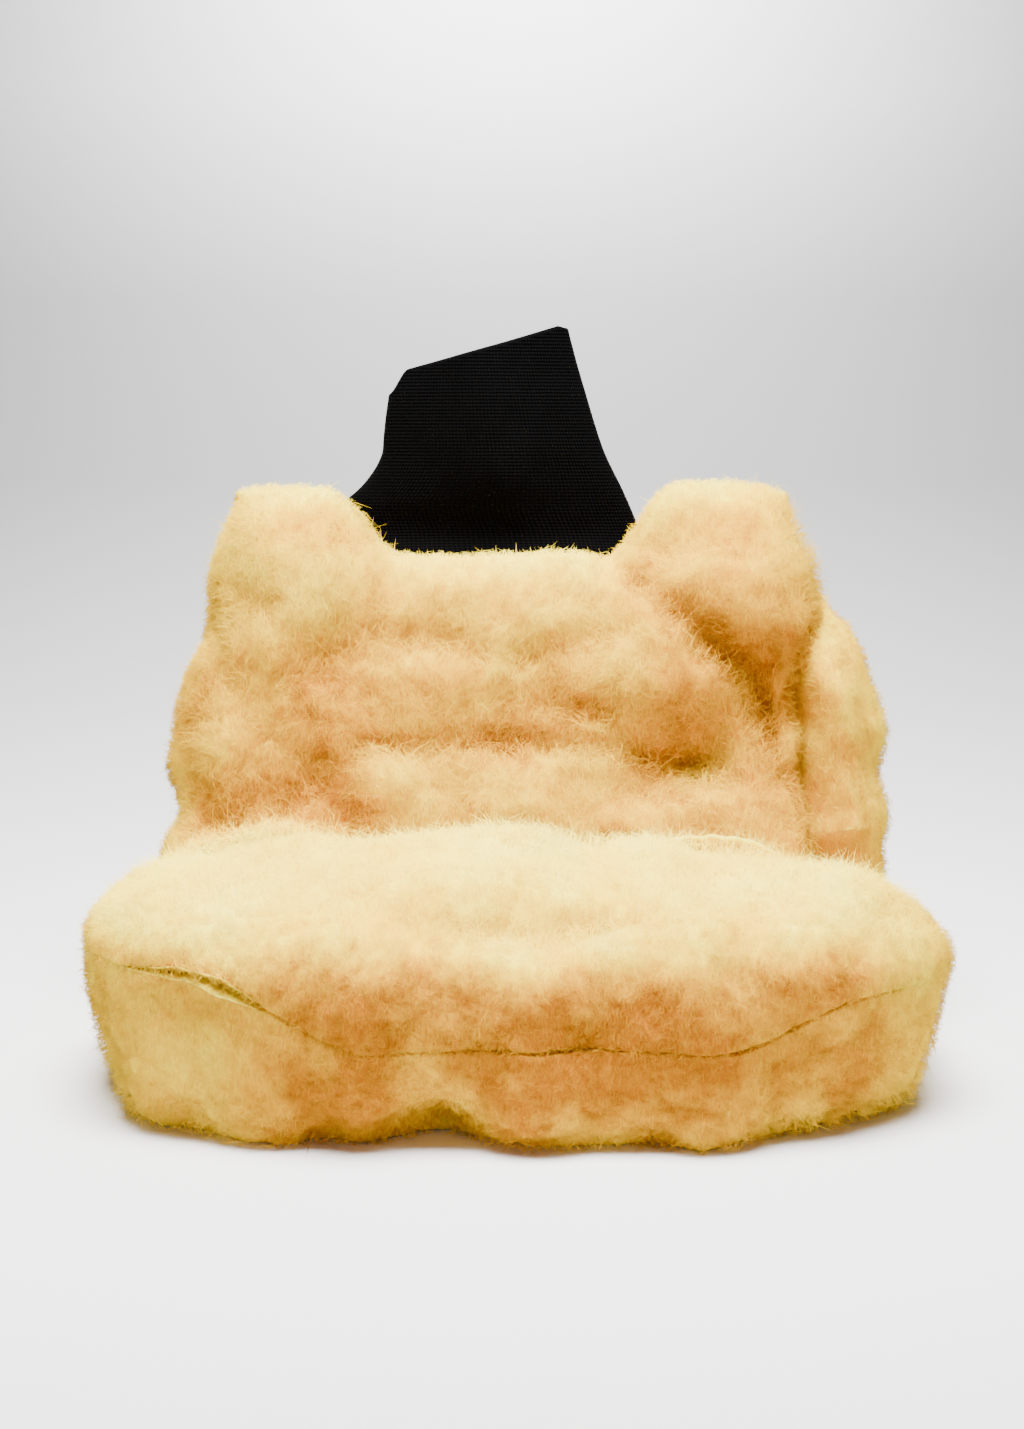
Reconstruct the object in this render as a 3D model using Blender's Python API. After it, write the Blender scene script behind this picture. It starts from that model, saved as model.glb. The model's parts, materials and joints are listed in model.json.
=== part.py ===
"""Wash mitt: two wool-covered skin panels, sewn round three sides, with a double knit cuff in the mouth.

The mitt is worked out lying flat, in three coordinates: x across it, s along it from the finger-end seam to
the mouth, and h off the seam plane, towards the front panel. bend() then lays the finger end on the ground
and turns the wrist end up. Metres, +Z up, with the front panel facing -Y.
"""

import math

import bmesh
import bpy

# Lie of the seam plane: a flat run on the ground, a bend, and a straight rise to the mouth
TIP_Y = -0.0710          # finger-end edge of the skins
SEAM_Z = 0.029           # seam plane over the ground
FLAT_RUN = 0.063
BEND_R = 0.042
LEAN = math.radians(69)  # rise of the wrist end over the ground
MOUTH_S = 0.1974         # length of a skin down its middle
MOUTH_RISE = 0.025       # how far its corners stand past that
RISE_FROM = 0.032        # the corners start to rise this far from the cuff's middle line
RISE_TO = 0.058

# Outline of a skin
BLOCK_HALF = 0.0985      # half width at the finger end
BEND_NARROWER = 0.0140
MOUTH_NARROWER = 0.0105
CORNER_R = 0.045
EDGE_RUN = BLOCK_HALF - CORNER_R + CORNER_R * math.pi / 2 + MOUTH_S - CORNER_R  # half a skin's sewn edge
HEART_S = 0.050          # where the finger end's rays meet

# Where along the mitt its shape changes, from and to, in metres from the finger end
BEND_NARROWS = (0.010, 0.090)
MOUTH_NARROWS = (0.130, MOUTH_S)
MOUTH_RISES = (0.150, MOUTH_S)
CORNERS_SETTLE = (0.020, 0.090)
SIDE_LIFTS = (0.070, 0.120)
SIDE_SETTLES = (0.165, 0.200)
POCKET_OPENS = (0.110, 0.200)
FRONT_THINS = (0.045, 0.070)
BACK_THINS = (0.100, 0.150)
FRONT_MOUTH_THINS = (0.170, 0.205)
BACK_MOUTH_THINS = (0.185, 0.210)
BLOCK_ENDS = (0.060, 0.110)
WIDER_ENDS = (0.055, 0.095)
# and where across it, from and to, in metres from its middle
LEFT_CORNER = (0.035, 0.095)
RIGHT_CORNER = (0.060, 0.100)
RIGHT_SIDE = (0.045, 0.085)
RIGHT_TURN = (0.42, 0.58)  # share of the sewn edge where the right side's wool changes over

# Thicknesses
SKIN = 0.0015
GAP = 0.0003             # left between pieces that touch
LIP = 0.0002             # half the gap between the skins' sewn edges
POCKET_FLAT = 0.005      # half the pocket's height at the fingers
POCKET_MOUTH = 0.0115    # and at the mouth
POCKET_FULLNESS = 2.5

# Wool
WOOL_REACH = 0.0265      # past a skin's edge
BLOCK_WIDER = 0.004      # more of it at the finger end's sides
FRONT_REACH_RIGHT = 0.0078  # the front panel's, down the right side
BACK_REACH_RIGHT = 0.0332  # and the back panel's, which comes forward round that side
ROLL_FORWARD = 0.012     # how far it comes forward of the seam
ROLL_CLEAR = 0.009       # where it starts, past the front panel's wool
MOUTH_CUT = 0.55         # share of the reach that is lost towards the mouth
MOUTH_CUT_RUN = 0.035
EDGE_THINNER = 0.10      # share of the height that is lost towards a skin's edge
BLOCK_THINNER = 0.16     # and more of it at the finger end's front
WOOL_RIM = 0.001
WOOL_OUTS = (0.010, 0.013, 0.0165, 0.020, 0.023, 0.0255, WOOL_REACH)  # rows past the seam's channel
FRONT_TALL = 0.039       # wool over the seam plane at the fingers
FRONT_BEND_DROP = 0.006
BACK_TALL = 0.045
BACK_BEND_DROP = 0.0095
MOUTH_DROP = 0.005

# How far the seam stands off its plane
LIFT_LEFT = 0.020        # up at the finger end's left corner
LIFT_RIGHT = 0.012       # up at its right corner
LIFT_SIDE = 0.015        # forward down the right side
TURNS = 54               # columns of a panel's grid, round its edge
SHARES = (0.0, 0.25, 0.45, 0.65, 0.82, 1.0)  # its rows, from the middle line to the skin's edge

# Seam thread
THREAD_R = 0.00035
THREAD_OUT = 0.0014      # off the skins' edge
THREAD_WAVE = 0.0007
THREAD_PITCH = 0.009
CHANNEL = 0.0035         # free width in the wool beside the seam
CHANNEL_END = 0.008

# Cuff: sewn edge in the mouth, a band that bends, and the standing tube
CUFF_X = -0.004
CUFF_KNIT = 0.0022       # two plies
SEWN_S = 0.190
SEWN_HALF = 0.052        # half width at the sewn edge
SEWN_HALF_DEPTH = 0.0104
NECK_HALF = 0.045        # half width under the bend line
FOLD_S = 0.2125          # the line that the cuff bends on
FOLD_BAND = 0.0055       # half the band's height
FOLD_HALF_DEPTH = 0.007
BAND_HALVES = (0.0449, 0.0444, 0.0438)  # half widths of the band, upwards
TUBE_HALF = 0.0435
TUBE_NARROWER = 0.0155   # less half width at the top
TUBE_SWAY = 0.0055       # the top's lean to the left
TUBE_BULGE = 0.0020
CUFF_LEAN = math.radians(84)
CUFF_HEIGHT = 0.0605     # bend line to the middle of the top edge
CUFF_TOP_TILT = 0.0078   # the top edge's rise at its right end, and its drop at its left
CUFF_SIDES = 40
TUBE_STEPS = 8
STITCH_STEPS = 32        # zigzags of the thread up the cuff
STITCH_ZIG = 0.0006
STITCH_IN = 0.0012       # its distance inside the knit
MOUTH_STITCHES = 44
MOUTH_STITCH_HALF = 0.0555  # half width of the ring of stitches round the mouth

SKIN_COLOUR = (0.86, 0.79, 0.62)
WOOL_COLOUR = (0.93, 0.74, 0.40)
THREAD_COLOUR = (0.90, 0.84, 0.68)
KNIT_COLOUR = (0.012, 0.012, 0.014)


def smooth(value, low, high):
    """0 below low, 1 above high, and an S-curve between."""
    t = min(max((value - low) / (high - low), 0.0), 1.0)
    return t * t * (3 - 2 * t)


def bend(x, s, h):
    """The place of a point of the flat mitt: the seam plane runs level, turns through LEAN, and runs on."""
    turned = min(max((s - FLAT_RUN) / BEND_R, 0.0), LEAN)
    level = min(s, FLAT_RUN)
    risen = max(s - FLAT_RUN - BEND_R * LEAN, 0.0)
    y = TIP_Y + level + (BEND_R - h) * math.sin(turned) + risen * math.cos(turned)
    z = SEAM_Z + BEND_R - (BEND_R - h) * math.cos(turned) + risen * math.sin(turned)
    return x, y, max(z, 0.0)


def half_width(s):
    return BLOCK_HALF - BEND_NARROWER * smooth(s, *BEND_NARROWS) - MOUTH_NARROWER * smooth(s, *MOUTH_NARROWS)


def edge(turn):
    """A skin's edge, from the left mouth corner (-1) round the finger end (0) to the right one (+1).

    Returns the point and the outward direction, in the flat plane.
    """
    side = math.copysign(1.0, turn)
    straight = BLOCK_HALF - CORNER_R
    run = abs(turn) * EDGE_RUN
    angle = min(max((run - straight) / CORNER_R, 0.0), math.pi / 2)
    up = max(run - straight - CORNER_R * math.pi / 2, 0.0)
    s = CORNER_R * (1 - math.cos(angle)) + up
    x = (min(run, straight) + CORNER_R * math.sin(angle)) * half_width(s) / BLOCK_HALF
    return (side * x, s), (side * math.sin(angle), -math.cos(angle))


def mouth_rise(x):
    """How far the mouth's edge stands past its middle."""
    return MOUTH_RISE * smooth(abs(x - CUFF_X), RISE_FROM, RISE_TO)


def panel_point(turn, share, past):
    """A point of a panel: share of the way from its middle line to its edge, and then past the edge."""
    (ex, es), (ox, os) = edge(turn)
    middle = max(es, HEART_S)
    x = ex * share + ox * past
    s = middle + (es - middle) * share + os * past
    return x, s + mouth_rise(x) * smooth(s, *MOUTH_RISES)


def seam_lift(x, s):
    """How far the seam stands off its plane: up at the finger end's corners, forward down the right side."""
    corners = LIFT_LEFT * smooth(-x, *LEFT_CORNER) + LIFT_RIGHT * smooth(x, *RIGHT_CORNER)
    side = smooth(x, *RIGHT_SIDE) * smooth(s, *SIDE_LIFTS) * (1 - smooth(s, *SIDE_SETTLES))
    return corners * (1 - smooth(s, *CORNERS_SETTLE)) + LIFT_SIDE * side


def pocket(share, s):
    """Half the room between the skins: nothing at the seam, and more towards the mouth."""
    full = POCKET_FLAT + (POCKET_MOUTH - POCKET_FLAT) * smooth(s, *POCKET_OPENS)
    return LIP + full * (1 - share**POCKET_FULLNESS)


def front_height(s):
    drops = FRONT_BEND_DROP * smooth(s, *FRONT_THINS) + MOUTH_DROP * smooth(s, *FRONT_MOUTH_THINS)
    return FRONT_TALL - drops


def back_height(s):
    return BACK_TALL - BACK_BEND_DROP * smooth(s, *BACK_THINS) - MOUTH_DROP * smooth(s, *BACK_MOUTH_THINS)


def right_side(turn):
    """0 on the finger end and the left side, and 1 up the right side."""
    return smooth(turn, *RIGHT_TURN)


def reach(turn, side):
    """How far the wool goes past the skin's edge; it rounds off towards the mouth."""
    on_right = FRONT_REACH_RIGHT if side > 0 else BACK_REACH_RIGHT
    full = WOOL_REACH + (on_right - WOOL_REACH) * right_side(turn)
    cut = MOUTH_CUT * smooth(abs(turn) * EDGE_RUN, EDGE_RUN - MOUTH_CUT_RUN, EDGE_RUN) ** 2
    (_, s), (out_x, _) = edge(turn)
    return full - (full - FRONT_REACH_RIGHT) * cut + BLOCK_WIDER * out_x**2 * (1 - smooth(s, *WIDER_ENDS))


def slab(columns, rows, place):
    """A closed slab: a grid and a copy of it joined round the rim, each vertex put by place(u, v, layer).

    u runs from -1 to 1 and v from 0 to 1; layer is 0 for the inner face and 1 for the outer. The row at
    v = 0 folds onto a line, where the two halves of the slab meet, so it gets no rim.
    """
    bm = bmesh.new()
    bmesh.ops.create_grid(bm, x_segments=columns, y_segments=rows, size=1.0)
    inner = set(bm.verts)
    bmesh.ops.solidify(bm, geom=bm.faces[:], thickness=1.0)
    folded = [face for face in bm.faces if all(vert.co.y < -0.999 for vert in face.verts)]
    bmesh.ops.delete(bm, geom=folded, context="FACES_ONLY")
    for vert in bm.verts:
        layer = 0 if vert in inner else 1
        vert.co = place(vert.co.x, (vert.co.y + 1) / 2, layer)
    bmesh.ops.remove_doubles(bm, verts=bm.verts[:], dist=1e-6)
    bmesh.ops.recalc_face_normals(bm, faces=bm.faces[:])
    return bm


def material(name, colour, roughness):
    made = bpy.data.materials.new(name)
    made.use_nodes = True
    shader = made.node_tree.nodes["Principled BSDF"]
    shader.inputs["Base Color"].default_value = (*colour, 1.0)
    shader.inputs["Roughness"].default_value = roughness
    shader.inputs["Metallic"].default_value = 0.0
    made.diffuse_color = (*colour, 1.0)
    return made


def add_mesh(name, bm, collection, finish):
    mesh = bpy.data.meshes.new(name)
    bm.to_mesh(mesh)
    bm.free()
    mesh.shade_smooth()
    made = bpy.data.objects.new(name, mesh)
    mesh.materials.append(finish)
    collection.objects.link(made)
    return made


def add_thread(name, points, collection, finish, cyclic=False):
    """A sewing thread: a poly curve through the points, with a round section."""
    curve = bpy.data.curves.new(name, "CURVE")
    curve.dimensions = "3D"
    curve.bevel_depth = THREAD_R
    curve.bevel_resolution = 1
    curve.use_fill_caps = not cyclic
    spline = curve.splines.new("POLY")
    spline.points.add(len(points) - 1)
    for point, place in zip(spline.points, points):
        point.co = (*place, 1.0)
    spline.use_cyclic_u = cyclic
    curve.materials.append(finish)
    made = bpy.data.objects.new(name, curve)
    collection.objects.link(made)
    return made


def skin(side):
    """A skin panel: side is 1 for the front one and -1 for the back one."""

    def place(u, v, layer):
        share = SHARES[round(v * (len(SHARES) - 1))]
        x, s = panel_point(u, share, 0.0)
        return bend(x, s, seam_lift(x, s) + side * (pocket(share, s) + SKIN * layer))

    return slab(TURNS, len(SHARES) - 1, place)


def wool(side):
    """The wool on a skin: thick over the skin, and rounded off past its edge."""
    rows = [(share, 0.0) for share in SHARES] + [(1.0, out) for out in (CHANNEL, CHANNEL_END, *WOOL_OUTS)]

    def place(u, v, layer):
        share, past = rows[round(v * (len(rows) - 1))]
        over = past / WOOL_REACH
        full = reach(u, side)
        if past > CHANNEL_END:
            past = CHANNEL_END + (past - CHANNEL_END) * (full - CHANNEL_END) / (WOOL_REACH - CHANNEL_END)
        x, s = panel_point(u, share, past)
        lift = seam_lift(x, s)
        if over == 0.0:
            inner = pocket(share, s) + SKIN + GAP
        else:
            inner = GAP / 2 + (LIP + SKIN + GAP / 2) * (1 - smooth(past, CHANNEL, CHANNEL_END))
        thinner = EDGE_THINNER * share**3
        if side > 0:
            thinner += BLOCK_THINNER * (1 - smooth(s, *BLOCK_ENDS)) * share**5
        tall = (front_height(s) if side > 0 else back_height(s)) - side * lift
        rounding = math.sqrt(max(1 - over**2, 0.0)) * (1 - thinner)
        outer = inner + WOOL_RIM + (tall - inner - WOOL_RIM) * rounding
        if side < 0:
            covered = reach(u, 1) + ROLL_CLEAR
            free = min(max((past - covered) / max(full - covered, GAP), 0.0), 1.0)
            inner -= ROLL_FORWARD * right_side(u) * math.sin(math.pi * free)
        return bend(x, s, lift + side * (outer if layer else inner))

    return slab(TURNS, len(rows) - 1, place)


def seam_points():
    """The thread down the sewn edge: an up-and-down wave just outside the skins' lips."""
    waves = round(2 * EDGE_RUN / THREAD_PITCH)
    points = []
    for index in range(4 * waves + 1):
        turn = 0.985 * (index / (2 * waves) - 1)
        x, s = panel_point(turn, 1.0, THREAD_OUT)
        points.append(bend(x, s, seam_lift(x, s) + THREAD_WAVE * math.sin(index * math.pi / 2)))
    return points


def mouth_points():
    """The thread round the mouth: stitches that step between the skins' cut edge and the cuff."""
    points = []
    for index in range(2 * MOUTH_STITCHES):
        angle = math.pi * index / MOUTH_STITCHES
        step = index % 2
        x = CUFF_X + (MOUTH_STITCH_HALF + 0.0016 * step) * math.cos(angle)
        share = min(abs(x) / half_width(MOUTH_S), 1.0)
        h = (pocket(share, MOUTH_S) + LIP + 0.0011 * step) * math.sin(angle)
        points.append(bend(x, MOUTH_S + mouth_rise(x) + 0.0011, h))
    return points


def ring_tube(sections):
    """A closed wall from a list of (outer, inner) rings of points, joined top and bottom."""
    bm = bmesh.new()
    outer = [[bm.verts.new(point) for point in rings[0]] for rings in sections]
    inner = [[bm.verts.new(point) for point in rings[1]] for rings in sections]
    loops = outer + inner[::-1] + outer[:1]
    for low, high in zip(loops, loops[1:]):
        for here in range(len(low)):
            there = (here + 1) % len(low)
            bm.faces.new((low[here], low[there], high[there], high[here]))
    bmesh.ops.recalc_face_normals(bm, faces=bm.faces[:])
    return bm


def oval(centre_x, half_wide, half_deep, put):
    """The outer and inner ring of a knit wall, as points; put(x, h) places one."""
    rings = []
    for shrink in (0.0, CUFF_KNIT):
        ring = []
        for index in range(CUFF_SIDES):
            angle = 2 * math.pi * index / CUFF_SIDES
            wide = half_wide - shrink
            deep = half_deep - shrink
            ring.append(put(centre_x + wide * math.cos(angle), deep * math.sin(angle)))
        rings.append(ring)
    return rings


def fold_line():
    return bend(0.0, FOLD_S, 0.0)


def standing(along, lean):
    """Puts a point (x, h) at a height over the fold line, on a plane across a cuff that leans this much."""
    _, y, z = fold_line()

    def put(x, h):
        return (
            x,
            y + along * math.cos(lean) - h * math.sin(lean),
            z + along * math.sin(lean) + h * math.cos(lean),
        )

    return put


def cuff_sewn_edge():
    """The part of the cuff inside the mouth, wide where it is sewn and narrow at the bend line."""
    sections = []
    top = FOLD_S - FOLD_BAND - GAP
    for step in range(5):
        s = SEWN_S + (top - SEWN_S) * step / 4
        narrowing = smooth(s, SEWN_S, top)
        wide = SEWN_HALF - (SEWN_HALF - NECK_HALF) * narrowing
        deep = SEWN_HALF_DEPTH - (SEWN_HALF_DEPTH - FOLD_HALF_DEPTH) * narrowing
        sections.append(oval(CUFF_X, wide, deep, lambda x, h, s=s: bend(x, s, h)))
    return ring_tube(sections)


def cuff_bend_band():
    """The band of knit that bends: its lower half leans with the mitt, its upper half with the cuff."""
    heights = (-FOLD_BAND, 0.0, FOLD_BAND)
    leans = (LEAN, (LEAN + CUFF_LEAN) / 2, CUFF_LEAN)
    return ring_tube([
        oval(CUFF_X, half, FOLD_HALF_DEPTH, standing(height, lean))
        for half, height, lean in zip(BAND_HALVES, heights, leans)
    ])


def tube_section(part):
    """The tube's middle, half width and height over the bend line, at a part of its way up."""
    base = FOLD_BAND + GAP
    middle = CUFF_X - TUBE_SWAY * smooth(part, 0.0, 1.0)
    return middle, TUBE_HALF - TUBE_NARROWER * part**0.8, base + (CUFF_HEIGHT - base) * part


def cuff_tube():
    """The standing cuff: it narrows upwards, leans left, and its top edge slopes up to the right."""
    sections = []
    for step in range(TUBE_STEPS + 1):
        part = step / TUBE_STEPS
        middle, wide, height = tube_section(part)
        deep = FOLD_HALF_DEPTH + TUBE_BULGE * math.sin(math.pi * part)

        def put(x, h, part=part, middle=middle, wide=wide, height=height):
            slope = CUFF_TOP_TILT * part * (x - middle) / wide
            return standing(height + slope, CUFF_LEAN)(x, h)

        sections.append(oval(middle, wide, deep, put))
    return ring_tube(sections)


def cuff_seam_points():
    """The thread up the inside of the cuff's right edge, where the knit is joined into a tube."""
    points = []
    for step in range(STITCH_STEPS + 1):
        part = 0.06 + 0.86 * step / STITCH_STEPS
        middle, wide, height = tube_section(part)
        x = middle + wide - CUFF_KNIT - STITCH_IN
        points.append(standing(height + CUFF_TOP_TILT * part, CUFF_LEAN)(x, STITCH_ZIG * (-1) ** step))
    return points


def main():
    for old in list(bpy.data.objects):
        bpy.data.objects.remove(old)
    parts = bpy.data.collections.new("wash_mitt")
    bpy.context.scene.collection.children.link(parts)

    hide = material("hide", SKIN_COLOUR, 0.85)
    pile = material("wool_pile", WOOL_COLOUR, 0.95)
    thread = material("seam_thread", THREAD_COLOUR, 0.6)
    knit = material("black_knit", KNIT_COLOUR, 0.9)

    add_mesh("front_skin", skin(1), parts, hide)
    add_mesh("back_skin", skin(-1), parts, hide)
    add_mesh("front_wool", wool(1), parts, pile)
    add_mesh("back_wool", wool(-1), parts, pile)
    add_thread("perimeter_seam_thread", seam_points(), parts, thread)
    add_thread("mouth_seam_thread", mouth_points(), parts, thread, cyclic=True)
    add_mesh("cuff_sewn_edge", cuff_sewn_edge(), parts, knit)
    add_mesh("cuff_bend_band", cuff_bend_band(), parts, knit)
    add_mesh("cuff_tube", cuff_tube(), parts, knit)
    add_thread("cuff_side_seam_thread", cuff_seam_points(), parts, knit)


main()
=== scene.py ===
import json
import math

import bmesh
import bpy
import numpy as np
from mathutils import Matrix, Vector


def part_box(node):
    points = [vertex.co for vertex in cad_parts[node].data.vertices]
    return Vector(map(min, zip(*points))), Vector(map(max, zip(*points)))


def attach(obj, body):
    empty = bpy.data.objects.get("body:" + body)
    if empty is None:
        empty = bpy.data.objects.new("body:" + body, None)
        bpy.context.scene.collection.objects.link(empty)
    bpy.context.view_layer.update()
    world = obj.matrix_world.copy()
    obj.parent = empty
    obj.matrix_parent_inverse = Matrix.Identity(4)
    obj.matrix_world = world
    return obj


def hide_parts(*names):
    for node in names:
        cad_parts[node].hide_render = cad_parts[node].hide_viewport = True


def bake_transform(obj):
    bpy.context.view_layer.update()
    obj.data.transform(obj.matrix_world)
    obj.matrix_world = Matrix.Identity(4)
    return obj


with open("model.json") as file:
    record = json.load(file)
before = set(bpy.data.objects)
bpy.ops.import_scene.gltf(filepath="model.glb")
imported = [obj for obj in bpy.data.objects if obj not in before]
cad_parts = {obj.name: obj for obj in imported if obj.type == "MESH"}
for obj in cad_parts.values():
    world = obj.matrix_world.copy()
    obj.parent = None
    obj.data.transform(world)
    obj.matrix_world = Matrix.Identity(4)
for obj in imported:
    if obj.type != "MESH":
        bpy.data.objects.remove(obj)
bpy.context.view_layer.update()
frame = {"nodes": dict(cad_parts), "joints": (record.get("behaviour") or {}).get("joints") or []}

# The mitt lying flat: x across, s along from the finger-end seam to the mouth, h off the seam plane
TIP_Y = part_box("front_skin")[0][1]
SEAM_Z = 0.029
FLAT_RUN = 0.063
BEND_R = 0.042
LEAN = math.radians(69)
MOUTH_S = 0.1974
MOUTH_RISE = 0.025
BLOCK_HALF = 0.0985
BEND_NARROWER = 0.0140
MOUTH_NARROWER = 0.0105
CORNER_R = 0.045
HEART_S = 0.050
EDGE_RUN = BLOCK_HALF - CORNER_R + CORNER_R * math.pi / 2 + MOUTH_S - CORNER_R

SKIN = 0.0015
GAP = 0.0003
LIP = 0.0002
POCKET_FLAT = 0.005
POCKET_MOUTH = 0.0115
POCKET_FULLNESS = 2.5

# Where along the mitt its shape changes, from and to
BEND_NARROWS = (0.01, 0.09)
MOUTH_NARROWS = (0.13, MOUTH_S)
MOUTH_RISES = (0.15, MOUTH_S)
CORNERS_SETTLE = (0.02, 0.09)
SIDE_LIFTS = (0.07, 0.12)
SIDE_SETTLES = (0.165, 0.20)
POCKET_OPENS = (0.11, 0.20)
FRONT_THINS = (0.045, 0.07)
BACK_THINS = (0.10, 0.15)
FRONT_MOUTH_THINS = (0.17, 0.205)
BACK_MOUTH_THINS = (0.185, 0.21)
BLOCK_ENDS = (0.06, 0.11)
WIDER_ENDS = (0.055, 0.095)
ROLL_ENDS = (0.155, 0.185)
# and where across it
MOUTH_CORNER = (0.032, 0.058)
LEFT_CORNER = (0.035, 0.095)
RIGHT_CORNER = (0.060, 0.100)
RIGHT_SIDE = (0.045, 0.085)
RIGHT_TURN = (0.42, 0.58)
# How far the seam stands off its plane, and the wool's height over it
LIFT_LEFT = 0.020
LIFT_RIGHT = 0.012
LIFT_SIDE = 0.015
FRONT_TALL = 0.039
FRONT_BEND_DROP = 0.006
BACK_TALL = 0.045
BACK_BEND_DROP = 0.0095
MOUTH_DROP = 0.005

# Wool
WOOL_REACH = 0.0225
BLOCK_WIDER = 0.0100     # more of it at the finger end's sides
FRONT_REACH_RIGHT = 0.0070
BACK_REACH_RIGHT = 0.0320
ROLL_FORWARD = 0.017     # the back panel's wool comes this far forward of the seam on the right
WOOL_BELOW = 0.0020      # the dense pile stops this far under the tips of its fibres
WOOL_PAST_MOUTH = 0.006  # the wool stands this far past the skins' mouth
MOUTH_ROLL = 0.016       # length over which the wool rounds off at the mouth
MOUTH_CUT = 0.55         # share of the reach that is lost towards the mouth
MOUTH_CUT_RUN = 0.035
EDGE_THINNER = 0.10      # share of the height that is lost towards a skin's edge
BLOCK_THINNER = 0.16     # and more of it at the finger end's front
PANEL_SEED = 100         # one for both panels, so that their tufts meet at the seam
GROOVE = 0.0007          # how far the two panels' wool parts at the seam
GROOVE_RUN = 0.010
FIBRES = {"front": 132000, "back": 118000}
FIBRES_PER_PIECE = 33000
FIBRE_LENGTH = 0.0060
FIBRE_RADIUS = 0.000075

# Cuff
CUFF_X = -0.004
CUFF_LEAN = math.radians(84)
CUFF_HEIGHT = 0.0605
CUFF_TOP_TILT = 0.0078
CUFF_ROOT = -0.018       # the sewn edge, along the cuff from its bend line
CUFF_BENDS = (-0.006, 0.016)  # the stretch of it that bends
CUFF_PLY = 0.0009
CUFF_KNIT = 0.0022
WALES = 140              # ribs round the cuff
COURSE = 0.0011          # pitch of the rows of stitches
FOLD = np.array(frame["joints"][0]["pos_m"], float)


# ---------------------------------------------------------------- numbers and noise

def s_curve(value, low, high):
    """0 below low, 1 above high, and 3t^2 - 2t^3 between."""
    t = np.clip((value - low) / (high - low), 0.0, 1.0)
    return t * t * (3 - 2 * t)


def unit(vectors):
    return vectors / np.maximum(np.linalg.norm(vectors, axis=-1, keepdims=True), 1e-12)


def hashed(i, j, k, seed):
    """A number from 0 to 1 for each lattice point: its coordinates times large primes, mixed by shifts."""
    mixed = (i * 73856093) ^ (j * 19349663) ^ (k * 83492791) ^ (seed * 2654435761)
    mixed &= 0xFFFFFFFF
    mixed = ((mixed ^ (mixed >> 13)) * 1274126177) & 0xFFFFFFFF
    mixed = ((mixed ^ (mixed >> 15)) * 2246822519) & 0xFFFFFFFF
    return ((mixed ^ (mixed >> 16)) & 0xFFFFFFFF) / 4294967295.0


def noise(points, size, seed):
    """Value noise from -1 to 1: the hashed corners of each point's lattice cell, blended with s-curves."""
    scaled = points / size
    cell = np.floor(scaled).astype(np.int64)
    part = scaled - cell
    part = part * part * (3 - 2 * part)
    total = np.zeros(len(points))
    for corner in range(8):
        step = np.array([corner & 1, (corner >> 1) & 1, corner >> 2])
        weight = np.prod(np.where(step, part, 1 - part), axis=1)
        total += weight * hashed(*(cell + step).T, seed)
    return 2 * total - 1


def layered(points, size, octaves, seed):
    """Noise at a size, its half, its quarter and so on, each at 0.55 of the strength before."""
    total = np.zeros(len(points))
    for octave in range(octaves):
        total += 0.55**octave * noise(points, size / 2**octave, seed + 11 * octave)
    return total


def vector_noise(points, size, seed):
    return np.stack([noise(points, size, seed + 101 * axis) for axis in range(3)], axis=1)


def cells(points, size, seed):
    """Distance, in cell sizes, from each point to the nearest jittered cell centre, and that centre."""
    scaled = points / size
    cell = np.floor(scaled).astype(np.int64)
    best = np.full(len(points), 9.0)
    centre = np.zeros_like(points)
    for step in np.ndindex(3, 3, 3):
        near = cell + np.array(step) - 1
        jitter = np.stack([hashed(*near.T, seed + axis) for axis in range(3)], axis=1)
        place = near + jitter
        distance = np.linalg.norm(place - scaled, axis=1)
        closer = distance < best
        best = np.where(closer, distance, best)
        centre = np.where(closer[:, None], place * size, centre)
    return best, centre


# ---------------------------------------------------------------- the mitt's lie

def lie(x, s, h):
    """A point of the flat mitt, laid: level up to FLAT_RUN, turned about a line across the mitt, then straight."""
    turned = np.clip((s - FLAT_RUN) / BEND_R, 0.0, LEAN)
    level = np.minimum(s, FLAT_RUN)
    risen = np.maximum(s - FLAT_RUN - BEND_R * LEAN, 0.0)
    y = TIP_Y + level + (BEND_R - h) * np.sin(turned) + risen * np.cos(turned)
    z = SEAM_Z + BEND_R - (BEND_R - h) * np.cos(turned) + risen * np.sin(turned)
    return np.stack([x, y, z], axis=-1)


def half_width(s):
    return BLOCK_HALF - BEND_NARROWER * s_curve(s, *BEND_NARROWS) - MOUTH_NARROWER * s_curve(s, *MOUTH_NARROWS)


def edge(turn):
    """A skin's edge: half the finger end, a quarter circle, and the side up to the mouth, and the way out."""
    side = np.where(turn < 0, -1.0, 1.0)
    straight = BLOCK_HALF - CORNER_R
    arc = CORNER_R * math.pi / 2
    run = np.abs(turn) * EDGE_RUN
    angle = np.clip((run - straight) / CORNER_R, 0.0, math.pi / 2)
    up = np.maximum(run - straight - arc, 0.0)
    s = CORNER_R * (1 - np.cos(angle)) + up
    x = (np.minimum(run, straight) + CORNER_R * np.sin(angle)) * half_width(s) / BLOCK_HALF
    return side * x, s, side * np.sin(angle), -np.cos(angle)


def panel_place(turn, share, past):
    """From the middle line to the edge by share, then past the edge; the mouth's corners stand up."""
    ex, es, ox, os = edge(turn)
    middle = np.maximum(es, HEART_S)
    x = ex * share + ox * past
    s = middle + (es - middle) * share + os * past
    corner = s_curve(np.abs(x - CUFF_X), *MOUTH_CORNER)
    return x, s + MOUTH_RISE * corner * s_curve(s, *MOUTH_RISES)


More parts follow.
